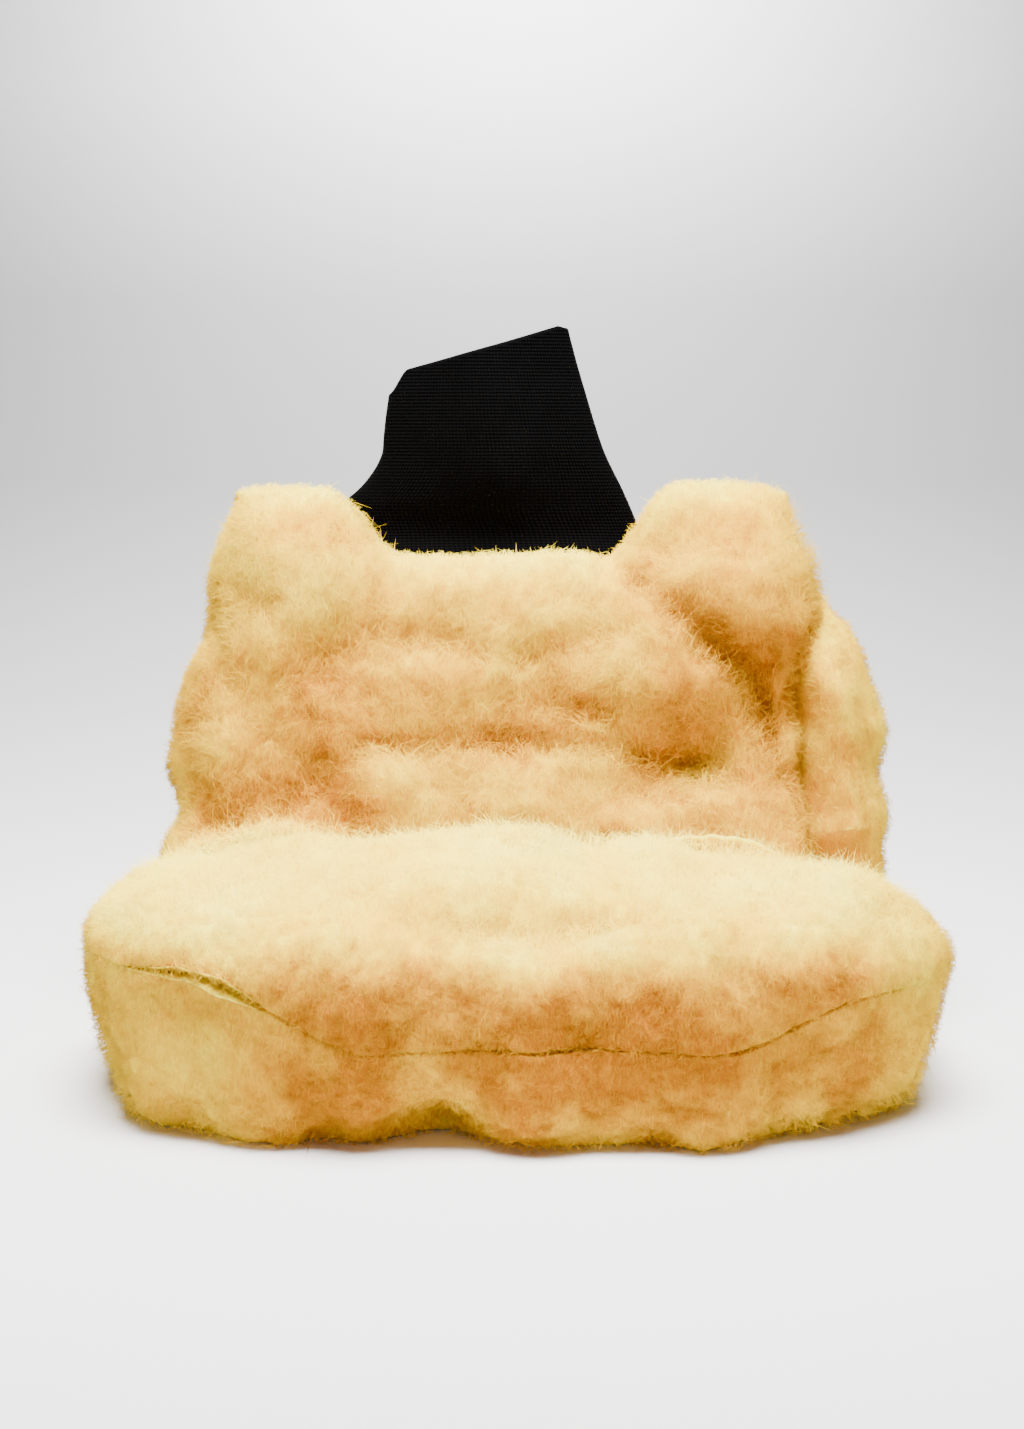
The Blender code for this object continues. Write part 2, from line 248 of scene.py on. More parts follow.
def seam_lift(x, s):
    """How far the seam stands off its plane: up at the finger end's corners, forward down the right side."""
    corners = LIFT_LEFT * s_curve(-x, *LEFT_CORNER) + LIFT_RIGHT * s_curve(x, *RIGHT_CORNER)
    right = s_curve(x, *RIGHT_SIDE) * s_curve(s, *SIDE_LIFTS) * (1 - s_curve(s, *SIDE_SETTLES))
    return corners * (1 - s_curve(s, *CORNERS_SETTLE)) + LIFT_SIDE * right


def pocket(share, s):
    """Half the room between the skins: nothing at the seam, and more towards the mouth."""
    full = POCKET_FLAT + (POCKET_MOUTH - POCKET_FLAT) * s_curve(s, *POCKET_OPENS)
    return LIP + full * (1 - share**POCKET_FULLNESS)


def front_height(s):
    return FRONT_TALL - FRONT_BEND_DROP * s_curve(s, *FRONT_THINS) - MOUTH_DROP * s_curve(s, *FRONT_MOUTH_THINS)


def back_height(s):
    return BACK_TALL - BACK_BEND_DROP * s_curve(s, *BACK_THINS) - MOUTH_DROP * s_curve(s, *BACK_MOUTH_THINS)


# ---------------------------------------------------------------- meshes

def mesh_object(name, places, faces, finish, values=None):
    """A mesh from arrays of points and faces, smooth, with the named numbers on its points."""
    mesh = bpy.data.meshes.new(name)
    corners = faces.shape[1]
    mesh.vertices.add(len(places))
    mesh.vertices.foreach_set("co", np.ascontiguousarray(places, dtype=np.float32).ravel())
    mesh.loops.add(faces.size)
    mesh.loops.foreach_set("vertex_index", np.ascontiguousarray(faces, dtype=np.int32).ravel())
    mesh.polygons.add(len(faces))
    mesh.polygons.foreach_set("loop_start", np.arange(0, faces.size, corners, dtype=np.int32))
    mesh.update(calc_edges=True)
    for key, numbers in (values or {}).items():
        layer = mesh.attributes.new(key, "FLOAT", "POINT")
        layer.data.foreach_set("value", np.ascontiguousarray(numbers, dtype=np.float32))
    mesh.materials.append(finish)
    mesh.shade_smooth()
    made = bpy.data.objects.new(name, mesh)
    bpy.context.scene.collection.objects.link(made)
    return made


def weld(made, distance=1e-6):
    """Joins points that coincide, drops faces with no area, and turns the faces outwards."""
    bm = bmesh.new()
    bm.from_mesh(made.data)
    bmesh.ops.remove_doubles(bm, verts=bm.verts[:], dist=distance)
    bmesh.ops.dissolve_degenerate(bm, edges=bm.edges[:], dist=1e-7)
    bmesh.ops.recalc_face_normals(bm, faces=bm.faces[:])
    bm.to_mesh(made.data)
    bm.free()
    made.data.shade_smooth()
    return made


def grid_faces(columns, rows, closed_columns=False, closed_rows=False):
    """The quads of a grid of points numbered column by column."""
    last_column = columns if closed_columns else columns - 1
    last_row = rows if closed_rows else rows - 1
    i, j = np.meshgrid(np.arange(last_column), np.arange(last_row), indexing="ij")
    i2, j2 = (i + 1) % columns, (j + 1) % rows
    return np.stack([i * rows + j, i2 * rows + j, i2 * rows + j2, i * rows + j2], axis=-1).reshape(-1, 4)


def grid_normals(places):
    """Unit normals of a grid of points, from the differences along its columns and rows."""
    along = np.gradient(places, axis=0)
    across = np.gradient(places, axis=1)
    return unit(np.cross(along, across))


# ---------------------------------------------------------------- node maths

class Socket:
    """A shader socket that takes +, - and * as Math nodes."""

    def __init__(self, tree, socket):
        self.tree = tree
        self.socket = socket

    def maths(self, operation, *others, swap=False):
        values = [self, *others]
        if swap:
            values.reverse()
        return node(self.tree, "ShaderNodeMath", {"operation": operation}, dict(enumerate(values)))

    def __add__(self, other):
        return self.maths("ADD", other)

    __radd__ = __add__

    def __mul__(self, other):
        return self.maths("MULTIPLY", other)

    __rmul__ = __mul__

    def __sub__(self, other):
        return self.maths("SUBTRACT", other)

    def __rsub__(self, other):
        return self.maths("SUBTRACT", other, swap=True)

    def sin(self):
        return self.maths("SINE")

    def clamp(self):
        return self.maths("MAXIMUM", 0.0).maths("MINIMUM", 1.0)

    def ramp(self, *stops):
        return node(self.tree, "ShaderNodeValToRGB", {"stops": stops}, {"Fac": self}, "Color")


def node(tree, kind, settings, inputs, output=0):
    """A node of a kind, its settings made first, then each input set to a value or linked, and one output."""
    made = tree.nodes.new(kind)
    for key, value in settings.items():
        if key == "stops":
            ramp = made.color_ramp
            while len(ramp.elements) < len(value):
                ramp.elements.new(0.5)
            for element, (place, colour) in zip(ramp.elements, value):
                element.position = place
                element.color = (*colour, 1.0)
        else:
            setattr(made, key, value)
    for key, value in inputs.items():
        target = made.inputs[key]
        if isinstance(value, Socket):
            tree.links.new(value.socket, target)
        else:
            target.default_value = value
    return Socket(tree, made.outputs[output])


def finish(name, constants):
    """A new material, with the constant inputs of its Principled shader set."""
    made = bpy.data.materials.new(name)
    made.use_nodes = True
    shader = made.node_tree.nodes["Principled BSDF"]
    for key, value in constants.items():
        shader.inputs[key].default_value = value
    return made, made.node_tree, shader


def attribute(tree, name):
    return node(tree, "ShaderNodeAttribute", {"attribute_name": name}, {}, "Fac")


def fine_noise(tree, scale, detail=2.0, stretch=(1.0, 1.0, 1.0)):
    """Noise on the piece's own coordinates, at a scale in waves a metre."""
    place = node(tree, "ShaderNodeTexCoord", {}, {}, "Object")
    shaped = node(tree, "ShaderNodeMapping", {}, {"Vector": place, "Scale": stretch}, "Vector")
    inputs = {"Vector": shaped, "Scale": scale, "Detail": detail}
    return node(tree, "ShaderNodeTexNoise", {"noise_dimensions": "3D"}, inputs)


def drive(tree, shader, key, value):
    tree.links.new(value.socket, shader.inputs[key])


def bump(tree, shader, height, distance, strength=1.0):
    made = node(tree, "ShaderNodeBump", {}, {"Height": height, "Distance": distance, "Strength": strength}, "Normal")
    drive(tree, shader, "Normal", made)


# A ramp from deep orange to cream. The tone that picks from it holds painted shade in hollows, creases and faces
# turned from the light, and painted light on tops, as well as the wool's own random tone.
WOOL_TONES = (
    (0.00, (0.52, 0.185, 0.002)),
    (0.25, (0.84, 0.44, 0.006)),
    (0.50, (0.95, 0.605, 0.012)),
    (0.75, (0.975, 0.69, 0.032)),
    (1.00, (0.985, 0.81, 0.11)),
)


def dense_wool():
    made, tree, shader = finish("dense_wool", {
        "Roughness": 0.95, "Subsurface Weight": 1.0, "Subsurface Scale": 0.0035,
        "Subsurface Radius": (1.0, 0.75, 0.30), "Specular IOR Level": 0.03,
    })
    tone = attribute(tree, "tone")
    cloud = fine_noise(tree, 220.0, 3.0)
    fibre = fine_noise(tree, 1500.0, 2.0, (1.0, 1.0, 0.35))
    mixed = (tone + (cloud - 0.5) * 0.30 + (fibre - 0.5) * 0.22).clamp()
    drive(tree, shader, "Base Color", mixed.ramp(*WOOL_TONES))
    bump(tree, shader, cloud * 0.5 + fibre, 0.0012, 0.8)
    return made


def wool_fibre():
    made, tree, shader = finish("wool_fibre", {"Roughness": 0.90, "Specular IOR Level": 0.05})
    tone = attribute(tree, "tone")
    drive(tree, shader, "Base Color", tone.ramp(*WOOL_TONES))
    return made


def suede():
    made, tree, shader = finish("suede", {
        "Roughness": 0.9, "Sheen Weight": 0.3, "Sheen Roughness": 0.5, "Specular IOR Level": 0.2,
    })
    cloud = fine_noise(tree, 60.0, 4.0)
    nap = fine_noise(tree, 2600.0, 2.0)
    shade = (cloud * 0.6 + nap * 0.4).ramp((0.25, (0.66, 0.55, 0.36)), (0.75, (0.90, 0.83, 0.66)))
    drive(tree, shader, "Base Color", shade)
    bump(tree, shader, nap, 0.0002, 0.8)
    return made


def black_knit():
    """Rib-knit: raised wales across the first coordinate of the knit map, courses along the second."""
    made, tree, shader = finish("black_knit", {"Roughness": 0.88, "Specular IOR Level": 0.04})
    knit = node(tree, "ShaderNodeUVMap", {"uv_map": "knit"}, {}, "UV")
    split = node(tree, "ShaderNodeSeparateXYZ", {}, {"Vector": knit}, "X")
    course = Socket(tree, split.socket.node.outputs["Y"])
    wale_wave = (split * (2 * math.pi)).sin() * 0.5 + 0.5
    course_wave = (course * (2 * math.pi)).sin() * 0.5 + 0.5
    lint = fine_noise(tree, 900.0, 3.0)
    height = wale_wave * 0.6 + course_wave * 0.4
    dark, light = (0.0004, 0.0004, 0.0006), (0.0020, 0.0018, 0.0023)
    # Painted light and shade: lighter on the raised wales and courses and darker between them; the lint noise is the
    # yarn's own random tone.
    shade = (height * 0.75 + lint * 0.3).ramp((0.30, dark), (0.95, light))
    drive(tree, shader, "Base Color", shade)
    bump(tree, shader, height + lint * 0.25, 0.00045, 1.0)
    return made


def twisted_thread(name, dark, light):
    """Plied thread: slanting bands on the object's own coordinates."""
    made, tree, shader = finish(name, {"Roughness": 0.55, "Sheen Weight": 0.3, "Specular IOR Level": 0.35})
    place = node(tree, "ShaderNodeTexCoord", {}, {}, "Object")
    split = node(tree, "ShaderNodeSeparateXYZ", {}, {"Vector": place}, "X")
    other = Socket(tree, split.socket.node.outputs["Z"])
    ply = ((split + other) * 9000.0).sin() * 0.5 + 0.5
    # Painted light and shade: the ply's raised bands are lighter and its grooves darker, the same wave that drives
    # the bump.
    drive(tree, shader, "Base Color", ply.ramp((0.1, dark), (0.9, light)))
    bump(tree, shader, ply, 0.0001, 0.7)
    return made


def studio_paper():
    """Matt paper, with painted shade where it turns up and painted light towards the top, and clear from behind."""
    made, tree, shader = finish("studio_paper", {"Roughness": 0.7, "Specular IOR Level": 0.1})
    place = node(tree, "ShaderNodeTexCoord", {}, {}, "Object")
    split = node(tree, "ShaderNodeSeparateXYZ", {}, {"Vector": place}, "Z")
    # Painted shade and light: grey through the turn-up, paler on the floor and towards the top of the wall.
    grey = ((0.0, 0.78), (0.10, 0.62), (0.30, 0.46), (0.50, 0.52), (0.75, 0.86), (1.0, 0.90))
    height = split * 2.5 + (fine_noise(tree, 12.0) - 0.5) * 0.01
    drive(tree, shader, "Base Color", height.ramp(*[(stop, (v, v, v * 1.005)) for stop, v in grey]))
    behind = node(tree, "ShaderNodeNewGeometry", {}, {}, "Backfacing")
    paper = Socket(tree, shader.outputs["BSDF"])
    clear = node(tree, "ShaderNodeBsdfTransparent", {}, {}, "BSDF")
    seen = node(tree, "ShaderNodeMixShader", {}, {0: behind, 1: paper, 2: clear}, "Shader")
    tree.links.new(seen.socket, tree.nodes["Material Output"].inputs["Surface"])
    return made


# ---------------------------------------------------------------- panels

def panel_turns(count, end):
    """Columns round a panel's edge, closer together where the mouth's edge rounds off."""
    main = np.linspace(0, 1, count // 2)
    close = end + (1 - MOUTH_ROLL / EDGE_RUN - end) * (1 - np.sin(np.linspace(0, math.pi / 2, 13)))
    half = np.unique(np.concatenate([main[main < close[0]], close]))
    return np.concatenate([-half[:0:-1], half])


def panel_grid(turns, shares, outs):
    """Every (column, row) of a panel's closed section: the inner face out to the rim, and the outer face back."""
    share = np.concatenate([shares, np.ones(len(outs))])
    over = np.concatenate([np.zeros(len(shares)), outs])
    outer = np.concatenate([np.zeros(len(share)), np.ones(len(share))]).astype(bool)
    share = np.concatenate([share, share[::-1]])
    over = np.concatenate([over, over[::-1]])
    turn = np.repeat(turns[:, None], len(share), axis=1)
    shape = turn.shape
    return turn, np.broadcast_to(share, shape), np.broadcast_to(over, shape), np.broadcast_to(outer, shape)


def skin_panel(name, side, finish_made):
    """A skin: the pocket's surface, and the same surface SKIN further out, joined round a thin edge."""
    end = 1.0 + 0.0006 / EDGE_RUN
    turns = panel_turns(220, end)
    turn, share, over, outer = panel_grid(turns, np.linspace(0, 1, 36), np.array([0.5, 1.0]))
    x, s = panel_place(turn, share, over * 0.0004)
    rim = np.clip((end - np.abs(turn)) * EDGE_RUN / 0.0008, 0, 1) * (1 - over)
    h = pocket(share, s) + SKIN * np.where(outer, 0.5 + 0.5 * rim, 0.5 - 0.5 * rim)
    places = lie(x, s, seam_lift(x, s) + side * h)
    return weld(mesh_object(name, places.reshape(-1, 3), grid_faces(*turn.shape), finish_made))


FRONT_HEAPS = (
    # x, s, radius across, radius along, height, all in millimetres of the flat mitt
    (-78, 66, 24, 9, 9.0), (62, 69, 23, 8, 11.0), (20, 66, 16, 6, 3.0), (-30, 66, 14, 6, 2.5),
    (-25, 14, 36, 12, 3.5), (40, 8, 26, 12, 3.0), (68, 190, 24, 20, 9.0), (-70, 196, 22, 20, 4.0),
    (-20, 160, 30, 9, 3.0), (30, 158, 18, 9, 3.0), (-8, 122, 34, 8, 3.5), (-62, 150, 18, 16, 3.0),
    (58, 136, 10, 9, -13.0), (34, 116, 12, 7, 3.5), (-90, 14, 18, 22, 3.0), (90, 20, 18, 18, 2.5),
    (-62, 98, 20, 9, 4.5), (-88, 84, 18, 16, 7.0), (2, 100, 22, 6, -3.0), (58, 160, 14, 8, 3.0),
    (-94, 120, 10, 12, -3.0),
    (0, -6, 24, 7, -3.0), (-52, -4, 14, 8, 3.0), (60, -4, 18, 8, 2.5),
)
FRONT_CREASES = (
    # from x, s to x, s, half width, depth, in millimetres of the flat mitt
    (-46, 139, -8, 142, 4.0, 2.6), (-8, 142, 42, 138, 4.5, 3.2), (-50, 176, -12, 171, 5.0, 2.2),
    (4, 168, 34, 176, 4.5, 2.0), (32, 198, 58, 176, 4.5, 5.0), (58, 176, 76, 160, 5.5, 5.5),
    (76, 160, 84, 132, 6.0, 4.0), (-94, 116, -62, 128, 7.0, 3.0), (-40, 188, -58, 164, 6.0, 1.8),
    (-80, 88, -24, 96, 5.0, 1.5), (24, 98, 80, 90, 5.0, 2.5), (-60, 30, -10, 36, 7.0, 1.2),
    (10, 156, 30, 148, 5.0, 1.5),
)
BACK_HEAPS = (
    (0, 140, 40, 20, 2.5), (-50, 170, 26, 24, 3.0), (55, 160, 24, 26, 3.0), (40, 100, 30, 18, -2.5),
    (-40, 115, 24, 14, -2.0), (0, 185, 30, 14, 2.0),
)
BACK_CREASES = (
    (-60, 150, 10, 158, 6.0, 3.5), (10, 158, 60, 140, 6.0, 3.0), (-20, 188, 50, 182, 5.0, 2.5),
    (-80, 118, -20, 124, 7.0, 3.0), (0, 120, 70, 112, 7.0, 3.0),
)
FRONT_PAINTED_SHADE = (
    # x, s, radius across, radius along, and how much darker and more golden the wool is painted there, in
    # thousandths: painted shade where the wool faces away from the light above
    (70, 186, 30, 26, -200), (0, 150, 62, 34, -110), (-75, 170, 24, 34, -60), (0, -8, 90, 12, -110),
    (62, 130, 26, 16, -80), (-60, 120, 30, 14, -70),
)
LOW_HEAPS = (
    # x, z, radius across, radius up, height, in millimetres, on the finger end's lower wool
    (10, 15, 23, 10, 10.0), (-19, 4, 10, 10, -15.0), (-66, 17, 22, 10, 4.5), (62, 13, 22, 9, 4.0),
    (-42, 4, 16, 6, -5.0), (96, 22, 14, 12, 3.0), (36, 4, 10, 5, -4.0), (-94, 26, 14, 12, 3.0),
    (80, 2, 14, 5, -4.0),
)


def heaps(x, s, table):
    """A sum of round-topped heaps and hollows: height times exp of minus the squared, scaled distance."""
    total = np.zeros_like(x)
    for cx, cs, rx, rs, height in table:
        total = total + height / 1000 * np.exp(-((x * 1000 - cx) / rx) ** 2 - ((s * 1000 - cs) / rs) ** 2)
    return total


def creases(x, s, table):
    """The depth of the deepest fold at a point: each falls off from a straight line between two points."""
    total = np.zeros_like(x)
    for x0, s0, x1, s1, width, depth in table:
        dx, ds = x1 - x0, s1 - s0
        along = np.clip(((x * 1000 - x0) * dx + (s * 1000 - s0) * ds) / (dx * dx + ds * ds), 0, 1)
        off = np.hypot(x * 1000 - x0 - along * dx, s * 1000 - s0 - along * ds)
        total = np.maximum(total, depth / 1000 * np.exp(-((off / width) ** 2)))
    return total


def tufts(points, seed):
    """Wool's own relief, from about -1 to 1: rounded tufts at 28, 13 and 6.5 mm, on wandered points.

    Each size adds 1 - 2 d^1.6, d being the distance to the nearest jittered cell centre, in cell sizes.
    """
    wandered = points + 0.006 * vector_noise(points, 0.022, seed) + 0.002 * vector_noise(points, 0.008, seed + 7)
    total = np.zeros(len(points))
    for size, weight, turn in ((0.028, 1.0, 3), (0.013, 0.70, 5), (0.0065, 0.38, 9)):
        total += weight * (1 - 2 * cells(wandered, size, seed + turn)[0] ** 1.6)
    return total / 2.08


def wool_panel(name, side, finish_made, seed):
    """A panel's wool, as a closed section carried round the skin's edge.

    The inner face follows the skin, then the seam plane. The outer face is the pile's height times the cosine
    of an angle that runs from 0 at the skin's edge to a right angle at the wool's, with the sine as the reach.
    Along its normals it is then moved by heaps less creases, and by tufts and slow noise.
    """
    front = side > 0
    end = 1.0 + WOOL_PAST_MOUTH / EDGE_RUN
    turns = panel_turns(420, end)
    inner_shares, inner_outs = np.linspace(0, 1, 13), np.linspace(0, 1, 25)[1:]
    outer_shares, outer_outs = np.linspace(0, 1, 54), np.linspace(0, 1, 37)[1:]
    row_share = np.concatenate([inner_shares, np.ones(24 + 36), outer_shares[::-1]])
    row_angle = np.concatenate([np.zeros(13), inner_outs, outer_outs[-1::-1], np.zeros(54)])
    row_outer = np.concatenate([np.zeros(37), np.ones(36 + 54)]).astype(bool)
    turn = np.repeat(turns[:, None], len(row_share), axis=1)
    share = np.broadcast_to(row_share, turn.shape)
    angle = np.broadcast_to(row_angle, turn.shape)
    outer = np.broadcast_to(row_outer, turn.shape)

    over = np.sin(angle * math.pi / 2)
    _, edge_s, out_x, _ = edge(turn)
    right = s_curve(turn, *RIGHT_TURN) * (1 - s_curve(edge_s, *ROLL_ENDS))
    reach = WOOL_REACH + ((FRONT_REACH_RIGHT if front else BACK_REACH_RIGHT) - WOOL_REACH) * right
    base_s = np.abs(turn) * EDGE_RUN
    reach = reach + BLOCK_WIDER * out_x**2 * (1 - s_curve(edge_s, *WIDER_ENDS))
    cut = MOUTH_CUT * s_curve(base_s, EDGE_RUN - MOUTH_CUT_RUN, EDGE_RUN) ** 2
    reach = reach - (reach - FRONT_REACH_RIGHT) * cut
    reach = reach + 0.0016 * np.sin(37 * turn + 1.0) + 0.0010 * np.sin(71 * turn)
    past = over * reach
    x, s = panel_place(turn, share, past)
    lift = seam_lift(x, s)
    groove_angle = np.clip((past - reach + GROOVE_RUN) / GROOVE_RUN, 0, 1)
    parted = s_curve(x, -0.088, -0.060) * (1 - s_curve(x, 0.098, 0.114)) * (1 - s_curve(s, 0.03, 0.06))
    parted = np.maximum(parted, 0.05)
    groove = GROOVE * parted * (1 - np.sqrt(np.maximum(1 - groove_angle**2, 0)))
    inner = np.where(past > 0, GAP / 2 + (LIP + SKIN) * (1 - s_curve(past, 0.0035, 0.008)) + groove,
                     pocket(share, s) + SKIN + GAP)
    free = np.clip((past - FRONT_REACH_RIGHT) / np.maximum(reach - FRONT_REACH_RIGHT, 1e-4), 0, 1)
    forward = 0.0 if front else right * np.sin(math.pi * free) ** 0.8
    inner = inner - ROLL_FORWARD * forward
    tall = (front_height(s) if front else back_height(s)) - side * lift - WOOL_BELOW
    block = 1 - s_curve(s, *BLOCK_ENDS)
    rounding = np.where(past > 0, np.cos(angle * math.pi / 2), 1.0)
    rounding = rounding * (1 - EDGE_THINNER * share**3 - (BLOCK_THINNER * block * share**5 if front else 0))
    roll = np.clip((end * EDGE_RUN - base_s) / MOUTH_ROLL, 0, 1)
    roll = np.sqrt(np.maximum(1 - (1 - roll) ** 2, 0))
    tall = np.maximum(tall, np.where(outer, GAP / 2, inner) + 0.004)
    seat = inner + ROLL_FORWARD * forward
    top = seat + (tall - seat) * rounding * roll
    places = lie(x, s, lift + side * np.where(outer, top, inner))
    normals = grid_normals(places)
    shape = x.shape
    middle_column, top_row = shape[0] // 4, shape[1] - 8
    outward = lie(x, s, lift + side * (top + 0.01)) - lie(x, s, lift + side * top)
    if np.sum(normals[middle_column, top_row] * outward[middle_column, top_row]) < 0:
        normals = -normals
    flat, flat_normals = places.reshape(-1, 3), normals.reshape(-1, 3)

    heap_table, crease_table = (FRONT_HEAPS, FRONT_CREASES) if front else (BACK_HEAPS, BACK_CREASES)
    fold = creases(x, s, crease_table).reshape(-1)
    relief = heaps(x, s, heap_table).reshape(-1) - fold
    if not front:
        low = heaps(flat[:, 0], flat[:, 2], LOW_HEAPS) * (1 - s_curve(flat[:, 1], -0.085, -0.06))
        relief = relief + low
    tuft = tufts(flat, seed)
    puff = 0.0042 * tuft + 0.0044 * layered(flat, 0.042, 2, seed + 40)
    mottle = layered(flat, 0.013, 3, seed + 70)
    woolly = np.maximum(forward, 0.5 * s_curve(over, 0.75, 1.0))
    raised = (np.where(outer, np.clip(rounding * 1.5, 0.55, 1), woolly) * roll).reshape(-1)
    flat = flat + flat_normals * ((relief + puff) * raised)[:, None]
    flat[:, 2] = np.maximum(flat[:, 2], 0.0004)

    # Painted light: wool that faces up is paler, as if lit from above, less so on the back panel.
    painted_top_light = s_curve(flat_normals[:, 2], 0.35, 0.95) * (1 if front else 0.4)
    drift = layered(flat, 0.03, 2, seed + 60)
    # Painted shade and light: darker between the tufts and paler on their tops, and darker in the creases; drift and
    # mottle are the wool's own random tone.
    tone = 0.36 + 0.20 * tuft - 50 * fold + 0.38 * painted_top_light + 0.12 * drift + 0.16 * mottle
    # Painted shade on the front panel's wall and finger end's front.
    if front:
        tone = tone + heaps(x, s, FRONT_PAINTED_SHADE).reshape(-1)
    # Painted shade: darker along the seam's groove, where the two panels' wool parts.
    tone = tone - 0.55 * (parted * groove_angle**0.6 * (1 - 0.3 * outer) * (1 - forward)).reshape(-1)
    values = {"tone": np.clip(tone, 0, 1), "pile": raised}
    made = mesh_object(name, flat, grid_faces(*shape), finish_made, values)
    return weld(made)


def surface_arrays(base):
    """A base's points, normals, triangles, tone and pile as arrays."""
    mesh = base.data
    mesh.calc_loop_triangles()
    triangles = np.zeros(len(mesh.loop_triangles) * 3, np.int32)
    mesh.loop_triangles.foreach_get("vertices", triangles)
    found = []
    for source, key, width in ((mesh.vertices, "co", 3), (mesh.vertex_normals, "vector", 3),
                               (mesh.attributes["tone"].data, "value", 1),
                               (mesh.attributes["pile"].data, "value", 1)):
        values = np.zeros(len(mesh.vertices) * width, np.float32)
        source.foreach_get(key, values)
        found.append(values.reshape(-1, width).astype(float) if width > 1 else values.astype(float))
    return (*found, triangles.reshape(-1, 3))


def fibres(base, prefix, count, finish_made, seed):
    """Fibres rooted evenly over a pile's outer face, each a thin three-sided spindle bent at its middle.

    A fibre starts along the surface's normal and leans with a slow noise and with gravity, and its tip is
    drawn to the middle of the nearest jittered cell, so that tips gather in tufts. Its shading follows the
    pile's own normals, as a soft pile's does.
    """
    places, normals, tone, pile, triangles = surface_arrays(base)
    corners = places[triangles]
    area = np.linalg.norm(np.cross(corners[:, 1] - corners[:, 0], corners[:, 2] - corners[:, 0]), axis=1)
    middle = corners.mean(axis=1)
    facing = unit(normals[triangles].mean(axis=1))
    grows = pile[triangles].min(axis=1) > 0.02
    under = (middle[:, 2] < 0.003) & (facing[:, 2] < -0.5)
    area = area * grows * ~under
    rng = np.random.default_rng(seed)
    chosen = rng.choice(len(area), size=count, p=area / area.sum())
    share = rng.dirichlet((1.0, 1.0, 1.0), count)
    root = np.einsum("nk,nkd->nd", share, corners[chosen])
    normal = unit(np.einsum("nk,nkd->nd", share, normals[triangles[chosen]]))
    root_tone = np.einsum("nk,nk->n", share, tone[triangles[chosen]])

    root_pile = np.einsum("nk,nk->n", share, pile[triangles[chosen]])
    length = FIBRE_LENGTH * rng.uniform(0.5, 1.3, count) * np.where(rng.random(count) < 0.05, 1.6, 1.0)
    length = length * (0.18 + 0.82 * np.clip(root_pile, 0, 1) ** 2)
    lean = 0.6 * vector_noise(root, 0.010, seed + 1) + 0.7 * vector_noise(root, 0.0035, seed + 2)
    lean = lean + rng.normal(0, 0.55, (count, 3)) + np.array([0, 0, -0.12])
    lean = lean - normal * np.sum(lean * normal, axis=1, keepdims=True)
    gather = cells(root, 0.0045, seed + 3)[1] - root
    gather = gather - normal * np.sum(gather * normal, axis=1, keepdims=True)
    way = unit(normal * 0.60 + lean * 0.80)
    start = root - normal * 0.0010
    tip = root + way * length[:, None] + gather * 0.6
    half = root + normal * (0.28 * length)[:, None] + (tip - root) * 0.22 + rng.normal(0, 0.0005, (count, 3))
    tip[:, 2] = np.maximum(tip[:, 2], 0.0003)
    half[:, 2] = np.maximum(half[:, 2], 0.0004)
    start[:, 2] = np.maximum(start[:, 2], 0.0005)

    axis = unit(tip - start)
    across = unit(np.cross(axis, np.array([0.31, 0.57, 0.76])))
    other = np.cross(axis, across)
    radius = FIBRE_RADIUS * rng.uniform(0.7, 1.3, count)[:, None]
    ring = [half + radius * (across * math.cos(angle) + other * math.sin(angle))
            for angle in (0, 2 * math.pi / 3, 4 * math.pi / 3)]
    points = np.stack([start, *ring, tip], axis=1)
    own = [unit(normal + 0.8 * unit(point - half)) for point in ring]
    shading = np.stack([normal, *own, unit(normal + 0.25 * axis)], axis=1)
    # Each fibre carries its root's tone, painted shade and light included, made darker at its root as painted shade
    # down in the pile and paler at its tip as painted light; the random spread is its own.
    tones = root_tone[:, None] + np.array([-0.25, -0.03, -0.03, -0.03, 0.16]) + rng.normal(0, 0.06, (count, 1))
    tones = np.clip(tones, 0, 1)

    below = [(0, 1 + (k + 1) % 3, 1 + k) for k in range(3)]
    above = [(4, 1 + k, 1 + (k + 1) % 3) for k in range(3)]
    one = np.array(below + above)
    pieces = []
    for part, first in enumerate(range(0, count, FIBRES_PER_PIECE)):
        rows = slice(first, min(first + FIBRES_PER_PIECE, count))
        faces = (one[None] + 5 * np.arange(rows.stop - rows.start)[:, None, None]).reshape(-1, 3)
        values = {"tone": tones[rows].reshape(-1)}
        made = mesh_object(f"{prefix}_{part + 1}", points[rows].reshape(-1, 3), faces, finish_made, values)
        layer = made.data.attributes.new("custom_normal", "FLOAT_VECTOR", "POINT")
        layer.data.foreach_set("vector", np.ascontiguousarray(shading[rows], dtype=np.float32).ravel())
        pieces.append(made)
    return pieces


# ---------------------------------------------------------------- cuff

def cuff_path(v):
    """The cuff's middle line: along the wrist's rise below the bend line, and near upright above it."""
    table = np.linspace(-0.03, 0.08, 400)
    lean = LEAN + (CUFF_LEAN - LEAN) * s_curve(table, -0.008, 0.008)
    step = table[1] - table[0]
    y = np.cumsum(np.cos(lean)) * step
    z = np.cumsum(np.sin(lean)) * step
    y = y - np.interp(0, table, y) + FOLD[1]
    z = z - np.interp(0, table, z) + FOLD[2]
    return np.interp(v, table, y), np.interp(v, table, z), np.interp(v, table, lean)


